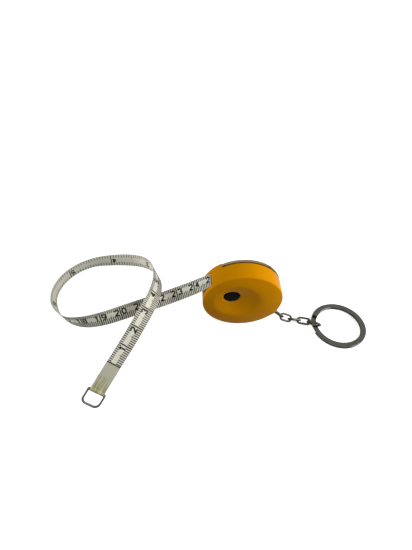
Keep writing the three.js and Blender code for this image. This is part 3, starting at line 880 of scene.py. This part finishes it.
def centimetres():
    """Millimetre ticks on both edges, a line at each centimetre and its number astride the line."""
    marks = Print(1)
    marks.mark(ZERO_LINE / 2, ZERO_LINE)
    for tick in range(1, int(BAND.length)):
        if tick % CENTIMETRE == 0:
            marks.mark(tick, CM_LINE)
            continue
        foot = FOOT_TICK if tick % (CENTIMETRE // 2) else FOOT_FIVE
        marks.mark(tick, CM_TICK, high=TOP_TICK - PRINT_EDGE)
        marks.mark(tick, CM_TICK, low=PRINT_EDGE - foot)
    for number in range(1, int(BAND.length / CENTIMETRE) + 1):
        line = number * CENTIMETRE
        lefts = (line - CM_GAP - FIGURE_WIDTH, line + CM_GAP)
        for figure, left in zip(str(number), lefts):
            marks.figure(figure, left, CM_BASE, -1)
    return marks.piece("centimetre_print")


def inches():
    """Sixteenth ticks on both edges of the other side, a line at each inch and its number."""
    marks = Print(-1)
    for tick in range(1, int(BAND.length / INCH * INCH_PARTS)):
        at = tick * INCH / INCH_PARTS
        inch, part = divmod(tick, INCH_PARTS)
        if part:
            long = LONGER_TICKS.get(part, SHORT_TICK)
            marks.mark(at, INCH_TICK, high=long - PRINT_EDGE)
            marks.mark(at, INCH_TICK, low=PRINT_EDGE - long)
            continue
        marks.mark(at, INCH_LINE)
        for count, figure in enumerate(reversed(str(inch)), 1):
            marks.figure(figure, at - count * (INCH_GAP + FIGURE_WIDTH), INCH_BASE, 1)
    return marks.piece("inch_print")


# Band's end


def end_frame():
    """Where the tab starts, and the ways along, across and out of it."""
    across = (TAB_ACROSS - TAB_DIRECTION * TAB_ACROSS.dot(TAB_DIRECTION)).normalized()
    out = TAB_DIRECTION.cross(across)
    return Vector(TAPE_ROUTE[-1][:3]), TAB_DIRECTION, across, out


def end_tab():
    """A strip folded back round the pull ring's bar and welded: one outline drawn across the band."""
    start, along, across, out = end_frame()
    half = TAB_THICKNESS / 2
    seam = TAB_SEAM / 2
    meet = 180 - math.degrees(math.asin(half / EYE_RADIUS))
    open_end = 180 - math.degrees(math.asin(seam / EYE_BORE))
    run = spread(0, TAB_LENGTH - EYE_RADIUS, TAB_STEPS)
    outline = [(x, -half) for x in run]
    outline += arc((TAB_LENGTH, 0), EYE_RADIUS, -meet, meet, EYE_STEPS)
    outline += [(x, half) for x in reversed(run)]
    outline += [(x, seam) for x in run]
    outline += arc((TAB_LENGTH, 0), EYE_BORE, open_end, -open_end, BORE_STEPS)
    outline += [(x, -seam) for x in reversed(run)]

    width = TAPE_WIDTH / 2

    def skin(x, h, v):
        """The height of the outline at a place across the band, with the weld's ribs pressed in."""
        if abs(abs(h) - half) > TAB_SEAM or x > TAB_LENGTH - EYE_RADIUS:
            return h
        wave = (1 - math.cos(2 * math.pi * WELD_RIBS * (v / TAPE_WIDTH + 0.5))) / 2
        begun = smooth(x, WELD_START, WELD_START + WELD_FADE)
        over = smooth(x, WELD_END - WELD_FADE, WELD_END)
        drop = WELD_DEPTH * wave * begun * (1 - over) + max(0, abs(v) - width + TAB_CORNER)
        return h - math.copysign(drop, h)

    rings = []
    uvs = []
    for v in spread(-width, width, TAB_COLUMNS):
        rings.append([start + along * x + across * v + out * skin(x, h, v) for x, h in outline])
        uvs += [(x, v) for x, h in outline]
    piece = lofted("tab", rings, TAB, sharp=SHARP_STRIP, uvs=uvs)
    place(piece, "case", "end_tab")
    return piece


def wire_loop(name, path, normal, radius, material):
    """A closed round wire along points in a plane with that normal."""
    rings = []
    count = len(path)
    for i, p in enumerate(path):
        along = (path[(i + 1) % count] - path[i - 1]).normalized()
        side = normal.cross(along).normalized()
        ring = []
        for k in range(WIRE_SIDES):
            a = 2 * math.pi * k / WIRE_SIDES
            ring.append(p + side * (radius * math.cos(a)) + normal * (radius * math.sin(a)))
        rings.append(ring)
    return lofted(name, rings, material, closed=True, sharp=SHARP_WIRE)


def pull_ring():
    start, along, across, out = end_frame()
    foot = PULL_RING_WIDTH / 2 - RING_WIRE
    head = PULL_RING_WIDTH / 2 - PULL_RING_CORNER
    top = PULL_RING_LENGTH - PULL_RING_CORNER
    flat = arc((foot, RING_WIRE), RING_WIRE, -90, 0, BAR_STEPS)
    flat += arc((head, top), PULL_RING_CORNER, 0, 90, CORNER_STEPS)
    flat += arc((-head, top), PULL_RING_CORNER, 90, 180, CORNER_STEPS)
    flat += arc((-foot, RING_WIRE), RING_WIRE, 180, 270, BAR_STEPS)
    path = [start + along * (TAB_LENGTH + y) + across * x for x, y in flat]
    piece = wire_loop("ring", path, out, RING_SKIN / 2, RING_STEEL)
    place(piece, "pull_ring", "pull_ring")
    return piece


# Chain and split ring


def chain():
    """The links in turn from the case's pin; returns where the last one holds the split ring."""
    joint = on_circle(INNER_RADIUS - ANCHOR_INSET, ANCHOR_ANGLE, ANCHOR_Y)
    touch = (LINK_WIRE + WIRE_GAP) / 2
    head_touch = ANCHOR_PIN_RADIUS + WIRE_GAP + LINK_WIRE / 2
    for name, run, face, pitch, width in CHAIN:
        along = Vector(run).normalized()
        across = Vector(face).cross(along).normalized()
        normal = along.cross(across)
        next_joint = joint + along * pitch
        head = joint - along * head_touch
        tail = next_joint + along * touch
        bend = (width - LINK_WIRE) / 2
        middle = (head + tail) / 2
        straight = (tail - head).length / 2 - bend
        flat = arc((straight, 0), bend, -90, 90, BEND_STEPS)
        flat += arc((-straight, 0), bend, 90, 270, BEND_STEPS)
        path = [middle + along * x + across * y for x, y in flat]
        piece = wire_loop(name.replace("_", "-"), path, normal, LINK_SKIN / 2, WIRE)
        place(piece, name, name)
        joint = next_joint
        head_touch = touch
    return joint


def split_ring(hold):
    """Two laps of flat wire with a ramp between them, leaning on the table by the last link."""
    bearing = math.radians(SPLIT_BEARING)
    level = Vector((math.cos(bearing), math.sin(bearing), 0))
    side = Vector((-level.y, level.x, 0))
    away = Matrix.Rotation(math.radians(SPLIT_TILT), 3, side) @ level
    side = Matrix.Rotation(math.radians(-SPLIT_LEAN), 3, away) @ side
    up = away.cross(side)
    middle = hold + away * (SPLIT_RADIUS - SPLIT_BAND - WIRE_GAP / 2 - SPLIT_SLACK)
    rise = SPLIT_LAYER + SPLIT_SLIT
    radius = SPLIT_RADIUS - SPLIT_BAND / 2
    wide, tall = SPLIT_BAND / 2, SPLIT_LAYER / 2
    flat, side_edge = wide - SPLIT_EDGE, tall - SPLIT_EDGE
    section = [(wide, side_edge), (flat, tall), (-flat, tall), (-wide, side_edge)]
    section += [(-x, -y) for x, y in section]
    rings = []
    for turn in spread(0, 2 * SPLIT_LAP + SPLIT_RAMP, SPLIT_STEPS):
        climb = smooth(turn, SPLIT_LAP, SPLIT_LAP + SPLIT_RAMP)
        a = math.radians(SPLIT_START + turn)
        out = away * math.cos(a) + side * math.sin(a)
        point = middle + out * radius + up * (rise * (climb - 0.5))
        rings.append([point + out * x + up * y for x, y in section])
    piece = lofted("split", rings, RING_STEEL, sharp=SHARP_CASE)
    place(piece, "split_ring", "split_ring")


# Stage


def seen_white(tree):
    """One for a ray from the eye, a mirror or glass, which all see the white backdrop."""
    path = tree.nodes.new("ShaderNodeLightPath")
    seen = path.outputs["Is Camera Ray"]
    for kind in ("Is Glossy Ray", "Is Transmission Ray"):
        either = tree.nodes.new("ShaderNodeMath")
        either.operation = "MAXIMUM"
        tree.links.new(seen, either.inputs[0])
        tree.links.new(path.outputs[kind], either.inputs[1])
        seen = either.outputs["Value"]
    return seen


def floor_material():
    """White to the eye and in reflections, and a dull grey in the light that it throws back."""
    s = Shader("floor").set(Roughness=FLOOR_ROUGHNESS, Specular_IOR_Level=FLOOR_SHEEN)
    s.set(Base_Color=PURE_WHITE, Emission_Color=PURE_WHITE, Emission_Strength=FLOOR_GLOW)
    dull = s.node("ShaderNodeBsdfDiffuse", Color=(FLOOR_GREY, FLOOR_GREY, FLOOR_GREY, 1))
    white = s.node("ShaderNodeBsdfDiffuse", Color=PURE_WHITE)
    mirrored = s.node("ShaderNodeMixShader")
    s.join(seen_white(s.tree), mirrored.inputs["Fac"])
    s.join(dull.outputs["BSDF"], mirrored.inputs[1])
    s.join(white.outputs["BSDF"], mirrored.inputs[2])
    direct = s.node("ShaderNodeMixShader")
    s.join(s.node("ShaderNodeLightPath").outputs["Is Camera Ray"], direct.inputs["Fac"])
    s.join(mirrored.outputs["Shader"], direct.inputs[1])
    s.join(s.surface.outputs["BSDF"], direct.inputs[2])
    s.join(direct.outputs["Shader"], s.tree.nodes["Material Output"].inputs["Surface"])
    return s.material


def studio_world():
    """A pale sky that the eye and reflections see as white."""
    world = bpy.data.worlds.new("studio")
    bpy.context.scene.world = world
    world.use_nodes = True
    tree = world.node_tree
    room = tree.nodes["Background"]
    room.inputs["Color"].default_value = PURE_WHITE
    room.inputs["Strength"].default_value = SKY
    plain = tree.nodes.new("ShaderNodeBackground")
    plain.inputs["Color"].default_value = PURE_WHITE
    either = tree.nodes.new("ShaderNodeMixShader")
    tree.links.new(seen_white(tree), either.inputs["Fac"])
    tree.links.new(room.outputs["Background"], either.inputs[1])
    tree.links.new(plain.outputs["Background"], either.inputs[2])
    tree.links.new(either.outputs["Shader"], tree.nodes["World Output"].inputs["Surface"])


def lamp(name, at, power, size):
    """A round area lamp aimed at the case and not seen by the camera."""
    data = bpy.data.lights.new(name, "AREA")
    data.shape = "DISK"
    data.energy = power
    data.size = size * MM
    made = bpy.data.objects.new(name, data)
    made.location = Vector(at) * MM
    made.rotation_euler = (Vector(LAMP_AIM) - Vector(at)).to_track_quat("-Z", "Y").to_euler()
    made.visible_camera = False
    bpy.context.scene.collection.objects.link(made)


def stage():
    w = FLOOR_SIZE
    corners = [(-w, -w, TABLE), (w, -w, TABLE), (w, w, TABLE), (-w, w, TABLE)]
    mesh_piece("floor", corners, [(0, 1, 2, 3)], floor_material())
    studio_world()
    lamp("key", KEY_AT, KEY_POWER, KEY_SIZE)
    lamp("fill", FILL_AT, FILL_POWER, FILL_SIZE)


front_shell()
back_cover()
button()
CORD = band()
CM_PRINT = centimetres()
INCH_PRINT = inches()
TAB_PIECE = end_tab()
RING_PIECE = pull_ring()
split_ring(chain())

HIDDEN = {
    "spindle": WIRE,
    "spool_drum": WHITE,
    "drum_cap": WHITE,
    "mainspring": SPRING,
    "tape_winding": CLOTH,
    "brake_plate": SPRING,
    "brake_pad": RUBBER,
    "return_spring": SPRING,
    "anchor_pin": WIRE,
}
for node, material in HIDDEN.items():
    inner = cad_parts[node]
    inner.data.materials.clear()
    inner.data.materials.append(material)
stage()

bpy.context.scene.view_settings.view_transform = "Standard"
